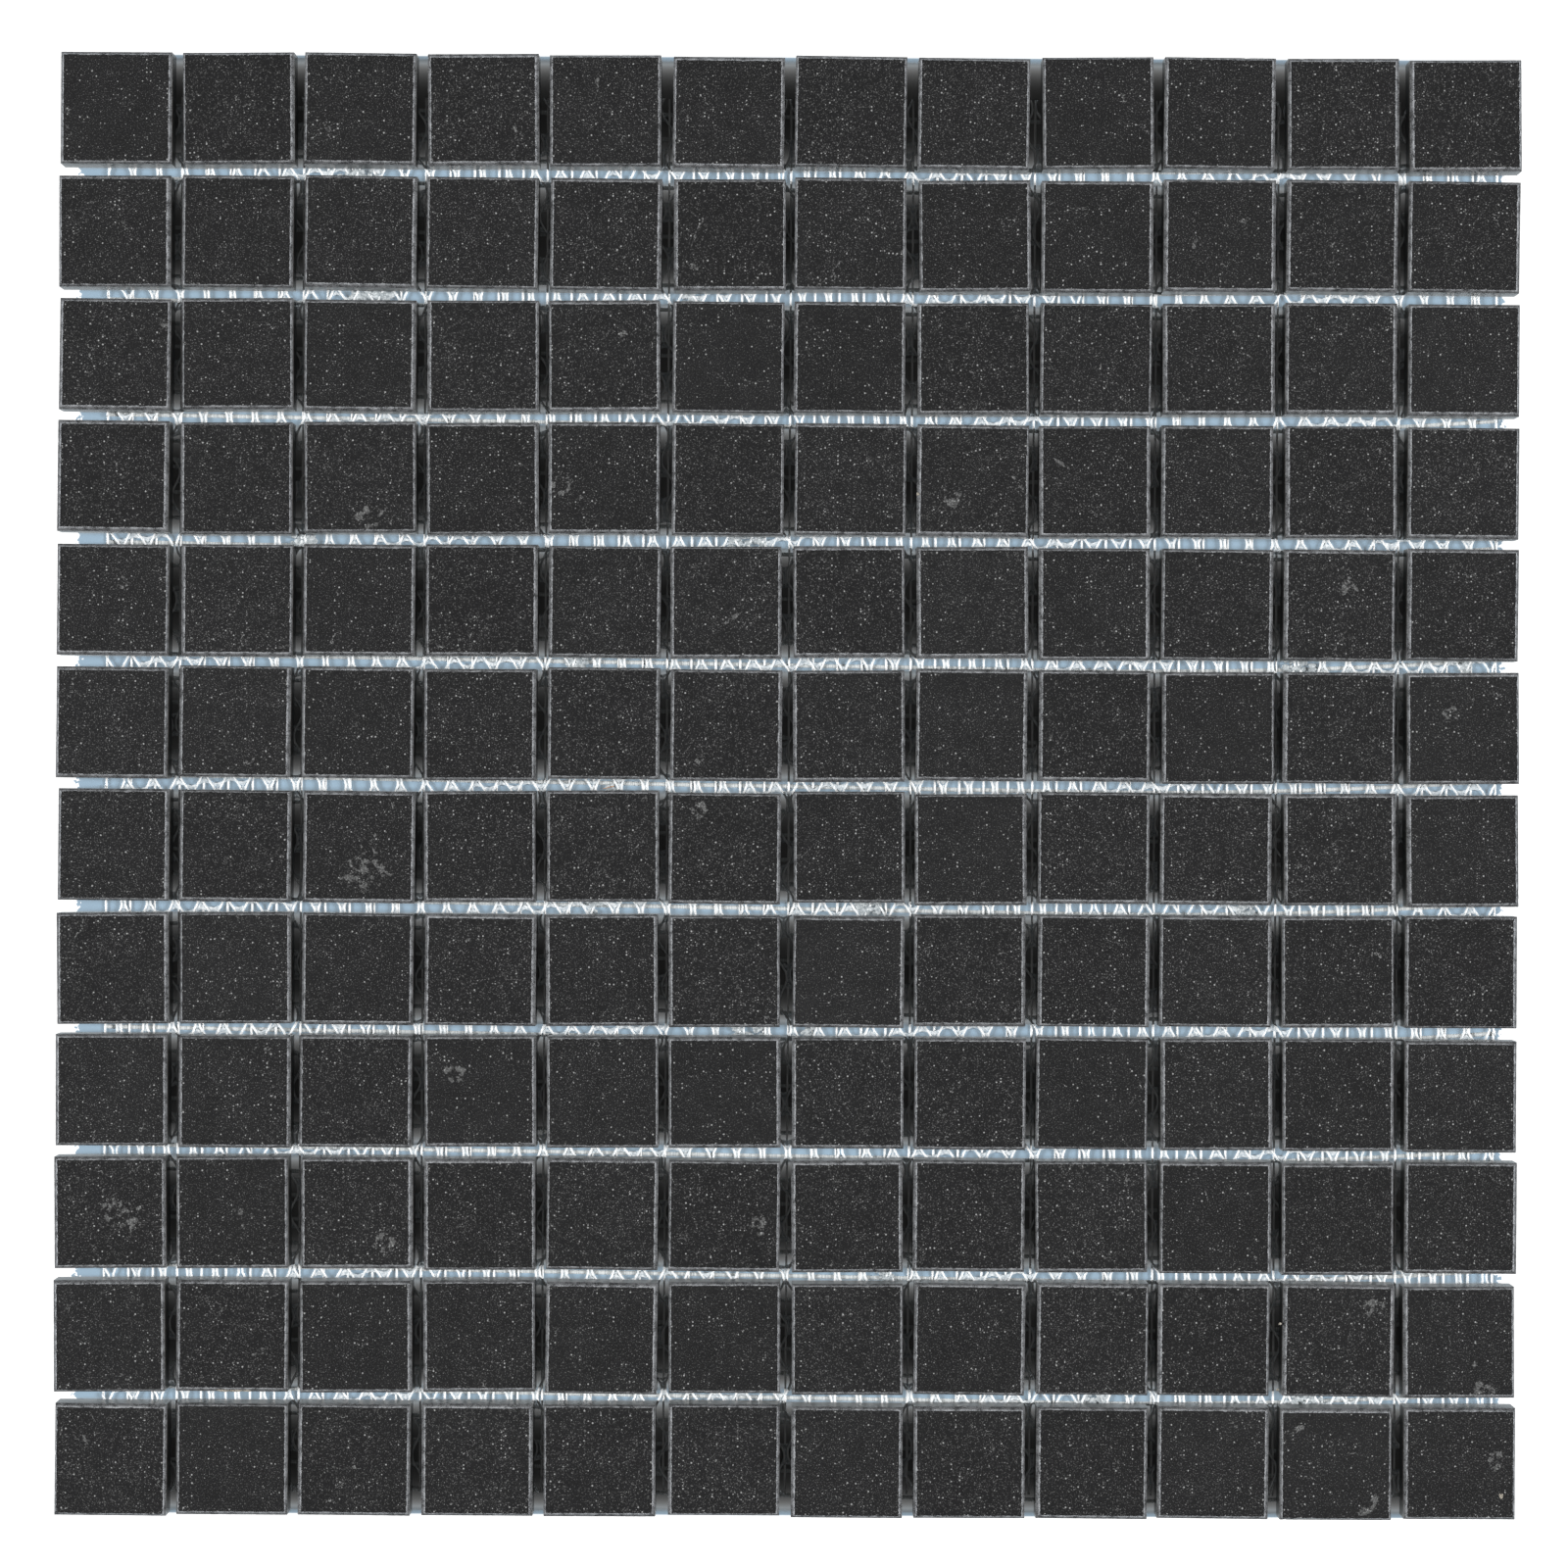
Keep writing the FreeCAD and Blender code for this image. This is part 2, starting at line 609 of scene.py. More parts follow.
@dataclass(frozen=True)
class Roving:
    """A flat bundle of glass or polyester filaments, stiff with dried size.

    Fine lengthwise lines show where the filaments lie side by side, and the size gives a soft
    gloss. The lines run along the object's Y direction, turned by its lean.
    """

    name: str
    light: str
    dark: str
    filament_pitch: float = 0.22 * MM
    roughness: float = 0.5
    lean: float = 0.0
    streak: float = 0.06
    cover: float = 1.0

    def material(self) -> bpy.types.Material:
        """Build the node material."""
        material, tree = new_material(self.name)
        here = add_node(tree, "TexCoord").outputs["Object"]
        along = add_node(
            tree,
            "Mapping",
            {
                "Vector": here,
                "Rotation": (0.0, 0.0, -self.lean),
                "Scale": (1.0, self.streak, 1.0),
            },
        )
        lines = add_node(
            tree,
            "TexNoise",
            {"Vector": along.outputs[0], "Scale": 1 / self.filament_pitch, "Detail": 2.0},
        ).outputs[0]
        share = add_node(tree, "MapRange", {0: lines, 1: 0.36, 2: 0.6})
        colour = add_node(
            tree,
            "Mix",
            {0: share.outputs[0], MIX_A: linear(self.dark), MIX_B: linear(self.light)},
            data_type="RGBA",
        )
        relief = add_node(tree, "Bump", {"Height": lines, "Strength": 0.5, "Distance": 0.05 * MM})
        shader = add_node(
            tree,
            "BsdfPrincipled",
            {
                "Base Color": colour.outputs[MIX_RESULT],
                "Roughness": self.roughness,
                "Alpha": self.cover,
                "Normal": relief.outputs[0],
            },
        )
        close_material(tree, shader)
        return material


@dataclass(frozen=True)
class SettingGlue:
    """Dried white dispersion adhesive: cloudy, and clear where it is thinnest."""

    name: str
    light: str
    dark: str
    thinnest: float
    thickest: float
    blotch: float = 0.7 * MM
    roughness: float = 0.45

    def material(self) -> bpy.types.Material:
        """Build the node material."""
        material, tree = new_material(self.name)
        here = add_node(tree, "TexCoord").outputs["Object"]
        clouds = add_node(
            tree,
            "TexNoise",
            {"Vector": here, "Scale": 1 / self.blotch, "Detail": 4.0, "Roughness": 0.7},
        ).outputs[0]
        share = add_node(tree, "MapRange", {0: clouds, 1: 0.35, 2: 0.65})
        colour = add_node(
            tree,
            "Mix",
            {0: share.outputs[0], MIX_A: linear(self.dark), MIX_B: linear(self.light)},
            data_type="RGBA",
        )
        alpha = add_node(
            tree,
            "MapRange",
            {0: clouds, 1: 0.35, 2: 0.68, 3: self.thinnest, 4: self.thickest},
        )
        relief = add_node(tree, "Bump", {"Height": clouds, "Strength": 0.5, "Distance": 0.1 * MM})
        shader = add_node(
            tree,
            "BsdfPrincipled",
            {
                "Base Color": colour.outputs[MIX_RESULT],
                "Roughness": self.roughness,
                "Alpha": alpha.outputs[0],
                "Normal": relief.outputs[0],
            },
        )
        close_material(tree, shader)
        return material


@dataclass(frozen=True)
class StoneDust:
    """Crumbs of sawing sludge and glue: a dull beige."""

    light: str = "#9c968b"
    dark: str = "#69645b"
    blotch: float = 0.3 * MM

    def material(self) -> bpy.types.Material:
        """Build the node material."""
        material, tree = new_material("beige_sawing_crumb")
        here = add_node(tree, "TexCoord").outputs["Object"]
        clouds = add_node(
            tree, "TexNoise", {"Vector": here, "Scale": 1 / self.blotch, "Detail": 3.0}
        ).outputs[0]
        share = add_node(tree, "MapRange", {0: clouds, 1: 0.4, 2: 0.6})
        colour = add_node(
            tree,
            "Mix",
            {0: share.outputs[0], MIX_A: linear(self.dark), MIX_B: linear(self.light)},
            data_type="RGBA",
        )
        shader = add_node(
            tree,
            "BsdfPrincipled",
            {"Base Color": colour.outputs[MIX_RESULT], "Roughness": 0.9},
        )
        close_material(tree, shader)
        return material


@dataclass(frozen=True)
class PaleMark:
    """A pale mark in one chip's face, by row and column from the upper left, from 1.

    Its middle is in millimetres from the chip's middle, and its radius too. Its run is as many
    times longer, and is turned by so many degrees from the row.
    """

    row: int
    column: int
    right: float
    back: float
    radius: float
    stretch: float = 1.0
    turn: float = 0.0

    def spot(self, middle: Vector) -> Vector:
        """The mark's middle and its radius, for a chip with this middle."""
        return Vector((middle.x + self.right * MM, middle.y + self.back * MM, self.radius * MM))

    def run(self) -> Vector:
        """The mark's turn and how narrow it is along its run."""
        return Vector((-math.radians(self.turn), 1 / self.stretch, 0))


CLOUDY_PATCHES = (
    PaleMark(1, 4, 7.4, -4.1, 1.6),
    PaleMark(1, 5, -2.4, 5.4, 1.8),
    PaleMark(1, 7, -8.8, -6.6, 1.6),
    PaleMark(2, 6, -7.1, -7.1, 1.7),
    PaleMark(2, 10, -4.0, -2.0, 2.4),
    PaleMark(3, 1, 9.9, 6.3, 1.4),
    PaleMark(3, 5, 4.0, 3.9, 1.6),
    PaleMark(4, 3, 2.0, -7.9, 3.2, 1.3, 20),
    PaleMark(4, 5, -9.0, -2.1, 2.8),
    PaleMark(4, 8, -4.4, -3.5, 2.4),
    PaleMark(5, 1, 1.9, 3.3, 1.8),
    PaleMark(5, 11, 1.9, 3.9, 2.6),
    PaleMark(6, 6, -5.0, -7.2, 1.0, 1.8, 20),
    PaleMark(6, 12, -3.0, 3.0, 2.2),
    PaleMark(7, 3, 1.1, -5.0, 5.0, 1.2, 30),
    PaleMark(7, 6, -5.8, 8.3, 2.4, 1.3, -50),
    PaleMark(9, 4, -5.0, 3.5, 2.8),
    PaleMark(10, 1, 2.0, -0.3, 4.2, 1.5, 0),
    PaleMark(10, 2, 1.1, 0.5, 1.7),
    PaleMark(10, 3, 6.0, -6.0, 3.2),
    PaleMark(10, 6, 7.0, -2.0, 2.8),
    PaleMark(11, 1, 2.6, -8.9, 1.8),
    PaleMark(11, 2, 5.9, -3.2, 1.2, 2.0, 20),
    PaleMark(11, 11, 7.3, 6.6, 3.6, 0.8, 30),
    PaleMark(11, 12, 4.9, -10.3, 3.6),
    PaleMark(12, 11, 6.4, -8.1, 2.2, 1.6, 40),
    PaleMark(12, 12, 7.3, 0.7, 2.4, 1.2, -60),
)

SCRATCHES = (
    PaleMark(2, 6, -6.7, 0.7, 0.4, 11.0, 68),
    PaleMark(4, 8, 9.4, -0.9, 0.45, 7.0, -50),
    PaleMark(4, 9, -6.7, 3.5, 0.45, 5.5, -29),
    PaleMark(5, 6, 1.0, -3.5, 0.5, 4.0, 35),
    PaleMark(6, 1, -7.6, 9.3, 0.4, 3.0, 55),
    PaleMark(6, 8, -6.0, -5.0, 0.5, 3.5, -20),
    PaleMark(11, 12, 3.2, -4.2, 0.6, 2.5, 60),
    PaleMark(12, 1, -5.2, 4.5, 0.35, 3.5, -60),
    PaleMark(12, 11, -7.5, 7.5, 0.7, 2.2, 35),
)


@dataclass
class ChipRow:
    """One row of chips, from a merged copy of its CAD node.

    The arrises are divided finely and worn: their edges wander as the wheel left them, and small
    nicks are broken out of them.
    """

    number: int
    chip_pitch: float = 25.0 * MM
    arris_depth: float = 0.9 * MM
    edge_cuts: int = 76
    wander_feature: float = 1.3 * MM
    inner_wander: float = 0.07 * MM
    grit_feature: float = 0.4 * MM
    grit_reach: float = 0.08 * MM
    nicks_a_chip: int = 9
    nick_radius: tuple[float, float] = (0.25 * MM, 0.8 * MM)
    nick_depth: tuple[float, float] = (0.05 * MM, 0.22 * MM)
    near: float = 0.01 * MM
    tones: tuple[float, float] = (0.92, 1.08)
    seed: int = 4100

    @property
    def node(self) -> str:
        """The CAD node that the row stands for."""
        return f"chip_row_{self.number:02d}"

    def column_of(self, x: float) -> int:
        """The chip that a place along the row belongs to, from 0."""
        return int(x / self.chip_pitch + 6)

    def divided(self) -> bmesh.types.BMesh:
        """Merge a copy of the node's mesh and divide its arrises.

        Returns:
            The bmesh, with its top faces filled again.
        """
        bm = bmesh.new()
        bm.from_mesh(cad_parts[self.node].data)
        bmesh.ops.remove_doubles(bm, verts=bm.verts[:], dist=0.001 * MM)
        bmesh.ops.dissolve_limit(
            bm, angle_limit=math.radians(1), verts=bm.verts[:], edges=bm.edges[:]
        )
        faces = [f for f in bm.faces if all(v.co.z > self.top - self.near for v in f.verts)]
        bmesh.ops.delete(bm, geom=faces, context="FACES_ONLY")
        rungs = [
            e
            for e in bm.edges
            if self.slopes(e) and min(v.co.z for v in e.verts) > self.shoulder - self.near
        ]
        bmesh.ops.subdivide_edges(bm, edges=rungs, cuts=1)
        rings = [
            e
            for e in bm.edges
            if not self.slopes(e) and min(v.co.z for v in e.verts) > self.shoulder - self.near
        ]
        bmesh.ops.subdivide_edges(bm, edges=rings, cuts=self.edge_cuts)
        return bm

    def slopes(self, edge: bmesh.types.BMEdge) -> bool:
        """Whether an edge isn't level."""
        return abs(edge.verts[0].co.z - edge.verts[1].co.z) > self.near

    def middles(self) -> list[Vector]:
        """The middle of each chip's polished face, from left to right."""
        found: list[list[Vector]] = [[] for _ in range(12)]
        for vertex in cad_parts[self.node].data.vertices:
            if vertex.co.z > self.top - self.near:
                found[self.column_of(vertex.co.x)].append(vertex.co)
        return [
            Vector(
                (
                    (min(p.x for p in points) + max(p.x for p in points)) / 2,
                    (min(p.y for p in points) + max(p.y for p in points)) / 2,
                    self.top,
                )
            )
            for points in found
        ]

    def nicks(self, draw: random.Random, middle: Vector) -> list[tuple[Vector, float, float]]:
        """Places, radii and depths of the nicks round one chip.

        Args:
            draw: The row's own random numbers.
            middle: The middle of the chip's face.

        Returns:
            One entry for each nick.
        """
        half = 11.0 * MM
        found = []
        for _ in range(self.nicks_a_chip):
            along = draw.uniform(-half, half)
            side = draw.choice(((1, 0), (-1, 0), (0, 1), (0, -1)))
            offset = Vector(
                (side[0] * half + abs(side[1]) * along, side[1] * half + abs(side[0]) * along, 0)
            )
            height = Vector((0, 0, -draw.choice((0.0, 0.0, 0.5, 1.0)) * self.arris_depth))
            radius = draw.triangular(*self.nick_radius, self.nick_radius[0])
            depth = draw.triangular(*self.nick_depth, self.nick_depth[0])
            found.append((middle + offset + height, radius, depth))
        return found

    def wear(self, bm: bmesh.types.BMesh) -> None:
        """Move the arris vertices as grinding and handling left them.

        Args:
            bm: The row with its arrises divided.
        """
        draw = random.Random(self.seed + self.number)
        middles = self.middles()
        nicks = [self.nicks(draw, middle) for middle in middles]
        for vertex in bm.verts:
            if vertex.co.z < self.shoulder - self.near:
                continue
            column = self.column_of(vertex.co.x)
            height = (vertex.co.z - self.shoulder) / self.arris_depth
            start = vertex.co.copy()
            inward = middles[column] - start
            inward.z = 0
            inward.normalize()
            slow = drift(start, self.wander_feature, self.inner_wander)
            quick = drift(start + Vector((0, 0, 1)), self.grit_feature, self.grit_reach)
            move = slow + quick
            if height > 1 - 1e-3:
                move.z = 0
            elif height < 1e-3:
                move = Vector((0, 0, move.z)) + inward * abs(quick.x) * 0.6
            vertex.co = start + move
            for place, radius, depth in nicks[column]:
                far = (start - place).length
                if far < radius:
                    bite = depth * (1 - (far / radius) ** 2)
                    down = 0.35 if height < 1 - 1e-3 else 0.0
                    vertex.co += inward * bite - Vector((0, 0, down * bite))

    def dressed(self, bm: bmesh.types.BMesh) -> None:
        """Fill the polished faces and give each face its finish.

        Args:
            bm: The worn row.
        """
        rims = [e for e in bm.edges if e.is_boundary]
        bmesh.ops.edgeloop_fill(bm, edges=rims)
        bmesh.ops.recalc_face_normals(bm, faces=bm.faces[:])
        for face in bm.faces:
            lowest = min(v.co.z for v in face.verts)
            if lowest > self.top - self.near:
                face.material_index = 0
            elif lowest > self.shoulder - 0.3 * self.arris_depth:
                face.material_index = 1
            else:
                face.material_index = 2

    def store_values(self, bm: bmesh.types.BMesh) -> None:
        """Give each chip its own place in the stone, its tone and its pale marks.

        Args:
            bm: The finished row.
        """
        draw = random.Random(self.seed * 2 + self.number)
        middles = self.middles()
        values = {
            Channel.PHASE: [
                Vector((draw.uniform(1, 9), draw.uniform(1, 9), draw.uniform(1, 9)))
                for _ in middles
            ],
            Channel.TONE: [draw.uniform(*self.tones) for _ in middles],
        }
        for marks, spot, run in (
            (CLOUDY_PATCHES, Channel.CLOUD, Channel.CLOUD_RUN),
            (SCRATCHES, Channel.SCRATCH, Channel.SCRATCH_RUN),
        ):
            here = {mark.column: mark for mark in marks if mark.row == self.number}
            none = PaleMark(self.number, 0, 0.0, 0.0, 0.01)
            chosen = [here.get(column, none) for column in range(1, 13)]
            values[spot] = [mark.spot(middle) for mark, middle in zip(chosen, middles)]
            values[run] = [mark.run() for mark in chosen]
        for channel, each in values.items():
            layers = bm.verts.layers
            kind = layers.float if channel is Channel.TONE else layers.float_vector
            layer = kind.new(channel.value)
            for vertex in bm.verts:
                vertex[layer] = each[self.column_of(vertex.co.x)]

    def build(self, finishes: Sequence[bpy.types.Material]) -> bpy.types.Object:
        """Make the row's piece.

        Args:
            finishes: Materials of the polished faces, the ground arrises and the sawn sides.

        Returns:
            The piece.
        """
        self.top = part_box(self.node)[1].z
        self.shoulder = self.top - self.arris_depth
        bm = self.divided()
        self.wear(bm)
        self.dressed(bm)
        self.store_values(bm)
        piece = piece_from(f"stone_chips_row_{self.number:02d}", mesh_from(self.node, bm))
        for finish in finishes:
            piece.data.materials.append(finish)
        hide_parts(self.node)
        report(piece)
        return piece


@dataclass(frozen=True)
class StrandSection:
    """A strand's cross-section: a flattened ring of a few sides."""

    width: float
    thickness: float
    sides: int = 6

    def curve(self) -> bpy.types.Object:
        """The section as a closed curve, to sweep along a strand's path."""
        data = bpy.data.curves.new("strand_section", "CURVE")
        data.dimensions = "2D"
        spline = data.splines.new("POLY")
        spline.points.add(self.sides - 1)
        for number, point in enumerate(spline.points):
            turn = math.tau * (number + 0.5) / self.sides
            point.co = (self.width / 2 * math.cos(turn), self.thickness / 2 * math.sin(turn), 0, 1)
        spline.use_cyclic_u = True
        return bpy.data.objects.new("strand_section", data)


def swept(
    paths: Sequence[Sequence[Vector]],
    section: StrandSection,
    steps: int,
    swells: Sequence[Sequence[float]] | None = None,
) -> bmesh.types.BMesh:
    """Sweep a section along smooth paths.

    Args:
        paths: Control points of each strand.
        section: The strands' cross-section.
        steps: Steps between two control points.
        swells: Scale of the section at each control point.

    Returns:
        The strands as one bmesh, capped at their ends.
    """
    data = bpy.data.curves.new("strands", "CURVE")
    data.dimensions = "3D"
    data.twist_mode = "Z_UP"
    data.resolution_u = steps
    data.bevel_mode = "OBJECT"
    data.bevel_object = section.curve()
    data.use_fill_caps = True
    for number, path in enumerate(paths):
        spline = data.splines.new("NURBS")
        spline.points.add(len(path) - 1)
        for index, (point, place) in enumerate(zip(spline.points, path)):
            point.co = (*place, 1)
            point.radius = swells[number][index] if swells else 1.0
        spline.order_u = 3
        spline.use_endpoint_u = True
    carrier = bpy.data.objects.new("strands", data)
    bpy.context.scene.collection.objects.link(carrier)
    graph = bpy.context.evaluated_depsgraph_get()
    mesh = bpy.data.meshes.new_from_object(carrier.evaluated_get(graph))
    bm = bmesh.new()
    bm.from_mesh(mesh)
    bmesh.ops.remove_doubles(bm, verts=bm.verts[:], dist=0.002 * MM)
    section_object = data.bevel_object
    bpy.data.objects.remove(carrier)
    bpy.data.objects.remove(section_object)
    return bm


@dataclass
class KnittedNet:
    """The knitted net: one zigzag thread between each two columns of stitches.

    A thread lies in a twin leg with the neighbour on its one side, crosses over to the next
    column and lies in a twin leg with the neighbour on its other side.
    """

    thread_pitch: float = 2.65 * MM
    course: float = 5.13 * MM
    crossing_rise: float = 2.4 * MM
    first_crossing: float = -0.74 * MM
    twin_gap: float = 0.4 * MM
    lean: float = math.radians(4.5)
    section: StrandSection = field(
        default_factory=lambda: StrandSection(0.48 * MM, 0.38 * MM, sides=5)
    )
    steps: int = 2
    wander_feature: float = 22 * MM
    wander: float = 0.35 * MM
    jitter_feature: float = 2.0 * MM
    jitter: float = 0.12 * MM
    corner_swell: float = 1.12
    strips: int = 3
    node: str = "knitted_net"

    def place(self, across: float, along: float, height: float) -> Vector:
        """Turn a place in the net's own directions to one in the sheet's.

        Args:
            across: Distance across the threads.
            along: Distance along them.
            height: Height over the floor.

        Returns:
            The place, wandered a little as knitted goods do.
        """
        flat = Matrix.Rotation(self.lean, 3, "Z") @ Vector((across, along, 0))
        flat += drift(flat, self.wander_feature, self.wander)
        flat += drift(flat + Vector((0, 0, 1)), self.jitter_feature, self.jitter)
        return Vector((flat.x, flat.y, height))

    def thread(self, number: int, reach: float, height: float) -> Iterator[Vector]:
        """The path of one thread.

        Args:
            number: The thread's number from the middle.
            reach: Half its length.
            height: Its height over the floor.

        Yields:
            The ends of its legs, in turn.
        """
        middle = (number + 0.5) * self.thread_pitch
        swing = self.thread_pitch / 2 - self.twin_gap
        courses = math.ceil(reach / self.course)
        for course in range(-courses, courses):
            side = -1 if (number + course) % 2 else 1
            crossing = self.first_crossing + course * self.course
            low = crossing + self.crossing_rise / 2
            high = crossing + self.course - self.crossing_rise / 2
            for share in (0.08, 0.5, 0.92):
                along = low + share * (high - low)
                yield self.place(middle + side * swing, along, height)

    def build(self, finish: bpy.types.Material) -> list[bpy.types.Object]:
        """Make the net in strips side by side.

        Args:
            finish: The yarn's material.

        Returns:
            The pieces.
        """
        low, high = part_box(self.node)
        height = (low.z + high.z) / 2
        reach = (high - low).length / 2
        threads = math.ceil(reach / self.thread_pitch)
        numbers = range(-threads, threads)
        share = math.ceil(len(numbers) / self.strips)
        pieces = []
        for strip in range(self.strips):
            paths = [
                list(self.thread(number, reach, height))
                for number in numbers[strip * share : (strip + 1) * share]
            ]
            swells = [
                [1.0 if index % 3 == 1 else self.corner_swell for index in range(len(path))]
                for path in paths
            ]
            bm = swept(paths, self.section, self.steps, swells)
            trim(bm, low, high)
            piece = piece_from(f"knitted_net_strip_{strip + 1}", mesh_from("net", bm))
            piece.data.materials.append(finish)
            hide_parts(self.node)
            report(piece)
            pieces.append(piece)
        return pieces


def trim(bm: bmesh.types.BMesh, low: Vector, high: Vector) -> None:
    """Cut strands off at the backing's four edges and close their ends.

    Args:
        bm: The strands.
        low: The backing's lowest corner.
        high: Its highest corner.
    """
    for corner, direction in (
        (low, Vector((-1, 0, 0))),
        (low, Vector((0, -1, 0))),
        (high, Vector((1, 0, 0))),
        (high, Vector((0, 1, 0))),
    ):
        bmesh.ops.bisect_plane(
            bm,
            geom=bm.verts[:] + bm.edges[:] + bm.faces[:],
            plane_co=corner,
            plane_no=direction,
            clear_outer=True,
        )
        ends = [e for e in bm.edges if e.is_boundary]
        bmesh.ops.holes_fill(bm, edges=ends, sides=12)


@dataclass
class ScrimLayer:
    """One layer of the glass-fibre scrim: flat strands at an even pitch, almost straight."""

    node: str
    name: str
    slot: str
    width: float
    thickness: float
    along_y: bool
    wander: float
    pitch: float = 5.0 * MM
    wander_feature: float = 110 * MM
    fuzz_feature: float = 3 * MM
    fuzz: float = 0.06 * MM
    points: int = 60

    def offset(self, flat: Vector) -> float:
        """How far a strand lies to the side of its even place, at one point of it."""
        return drift(flat, self.wander_feature, self.wander)[0 if self.along_y else 1]

    def build(self, finish: bpy.types.Material) -> bpy.types.Object:
        """Make the layer's piece.

        Args:
            finish: The strands' material.

        Returns:
            The piece.
        """
        low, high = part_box(self.node)
        height = (low.z + high.z) / 2
        axis = 0 if self.along_y else 1
        first, last = low[axis] + self.width / 2, high[axis] - self.width / 2
        start, end = low[1 - axis], high[1 - axis]
        paths, swells = [], []
        for number in range(round((last - first) / self.pitch) + 1):
            line = first + number * self.pitch
            path, swell = [], []
            for index in range(self.points):
                along = start + (end - start) * index / (self.points - 1)
                flat = Vector((line, along, 0) if self.along_y else (along, line, 0))
                shake = drift(flat + Vector((0, 0, number)), self.fuzz_feature, self.fuzz)
                flat[axis] += self.offset(flat) + shake[axis]
                path.append(Vector((flat.x, flat.y, height)))
                swell.append(0.86 + 0.14 * noise.noise(flat / self.fuzz_feature))
            paths.append(path)
            swells.append(swell)
        section = StrandSection(self.width, self.thickness, sides=6)
        bm = swept(paths, section, 1, swells)
        piece = piece_from(self.name, mesh_from(self.name, bm))
        piece.data.materials.append(finish)
        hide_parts(self.node)
        report(piece)
        return piece


# How far over the middle of each joint, from the top, the nearest weft lies, in millimetres
WEFT_HEIGHTS = (-2.6, -2.6, -1.1, -2.4, -0.1, 0.0, -0.1, -1.9, -0.9, -0.5, -0.5)


@dataclass
class WeftLayer(ScrimLayer):
    """The wefts, which run a little downhill to the right and rise again near their ends."""

    chip_pitch: float = 25.0 * MM
    even_height: float = 0.4 * MM
    fall: float = 0.014
    level_until: float = 60 * MM
    lift: float = 1.9 * MM

    def offset(self, flat: Vector) -> float:
        """How far a weft lies over its even place, at one point of it."""
        joint = min(max(5 - flat.y / self.chip_pitch, 0), 10)
        upper = min(int(joint), 9)
        share = joint - upper
        height = WEFT_HEIGHTS[upper] * (1 - share) + WEFT_HEIGHTS[upper + 1] * share
        past = max(0.0, flat.x - self.level_until) / self.level_until
        return height * MM - self.even_height - self.fall * flat.x + self.lift * past**2


@dataclass
class GlueWebs:
    """Thin films of adhesive that dried in the forks and between the twin legs of the net."""

    net: KnittedNet
    fork_share: float = 0.85
    leg_share: float = 0.92
    reach: tuple[float, float] = (0.4, 0.8)
    hollow: float = 0.05
    thickness: float = 0.12 * MM
    seed: int = 77

    def fork_film(self, bm: bmesh.types.BMesh, place: Matrix, extent: float, way: int) -> None:
        """Fill a fork with a film whose free edge curves in.

        Args:
            bm: Bmesh that takes the film.
            place: The fork's point and turn.
            extent: How far the film reaches from the point.
            way: 1 or -1 for the way the fork opens along the net.
        """
        half_width = extent * self.net.thread_pitch / self.net.crossing_rise
        scale = Matrix.Diagonal((half_width / 0.866, -way * extent / 1.5, 1, 1))
        middle = Matrix.Translation(Vector((0, way * extent / 1.5, 0)))
        made = bmesh.ops.create_circle(bm, cap_ends=True, segments=6, radius=1)
        for vertex, radius in zip(made["verts"], (1, 0.5, 1, self.hollow, 1, 0.5)):
            vertex.co = place @ middle @ scale @ (vertex.co * radius)

    def leg_film(self, bm: bmesh.types.BMesh, place: Matrix) -> None:
        """Join two twin legs with a narrow film.

        Args:
            bm: Bmesh that takes the film.
            place: The legs' middle and turn.
        """
        length = self.net.course - self.net.crossing_rise
        scale = Matrix.Diagonal((self.net.twin_gap, length / 2, 1, 1))
        bmesh.ops.create_grid(bm, x_segments=1, y_segments=1, size=1, matrix=place @ scale)

    def course_films(self, course: int, draw: random.Random) -> bmesh.types.BMesh:
        """Make the films of one course of stitches.

        Args:
            course: The course's number from the middle.
            draw: Random numbers.

        Returns:
            The films, as thin solids.
        """
        net = self.net
        height = (self.low.z + self.high.z) / 2
        columns = math.ceil((self.high - self.low).length / 2 / net.thread_pitch)
        turn = Matrix.Rotation(net.lean, 4, "Z")
        crossing = net.first_crossing + course * net.course
        ends = (
            (crossing + net.crossing_rise / 2, -1),
            (crossing + net.course - net.crossing_rise / 2, 1),
        )
        bm = bmesh.new()
        for column in range(-columns, columns):
            if (column + course) % 2 == 0:
                continue
            across = column * net.thread_pitch
            for along, way in ends:
                extent = draw.uniform(*self.reach) * net.crossing_rise
                chosen = draw.random() < self.fork_share
                spot = net.place(across, along, height)
                if chosen and self.inside(spot):
                    self.fork_film(bm, Matrix.Translation(spot) @ turn, extent, way)
            chosen = draw.random() < self.leg_share
            spot = net.place(across, (ends[0][0] + ends[1][0]) / 2, height)
            if chosen and self.inside(spot):
                self.leg_film(bm, Matrix.Translation(spot) @ turn)
        bmesh.ops.solidify(bm, geom=bm.faces[:], thickness=self.thickness)
        bmesh.ops.recalc_face_normals(bm, faces=bm.faces[:])
        return bm

    def inside(self, spot: Vector) -> bool:
        """Whether a place lies well inside the backing."""
        margin = 3 * MM
        level = self.low.x + margin < spot.x < self.high.x - margin
        return level and self.low.y + margin < spot.y < self.high.y - margin

    def build(self, finish: bpy.types.Material) -> bpy.types.Object:
        """Make all the films as one piece.

        Args:
            finish: The adhesive's material.

        Returns:
            The piece.
        """
        draw = random.Random(self.seed)
        self.low, self.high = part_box(self.net.node)
        courses = math.ceil((self.high - self.low).length / 2 / self.net.course)
        whole = bmesh.new()
        for course in range(-courses, courses):
            part = mesh_from("glue_course", self.course_films(course, draw))
            whole.from_mesh(part)
            bpy.data.meshes.remove(part)
        piece = piece_from("glue_webs", mesh_from("glue_webs", whole))
        piece.data.materials.append(finish)
        report(piece)
        return piece


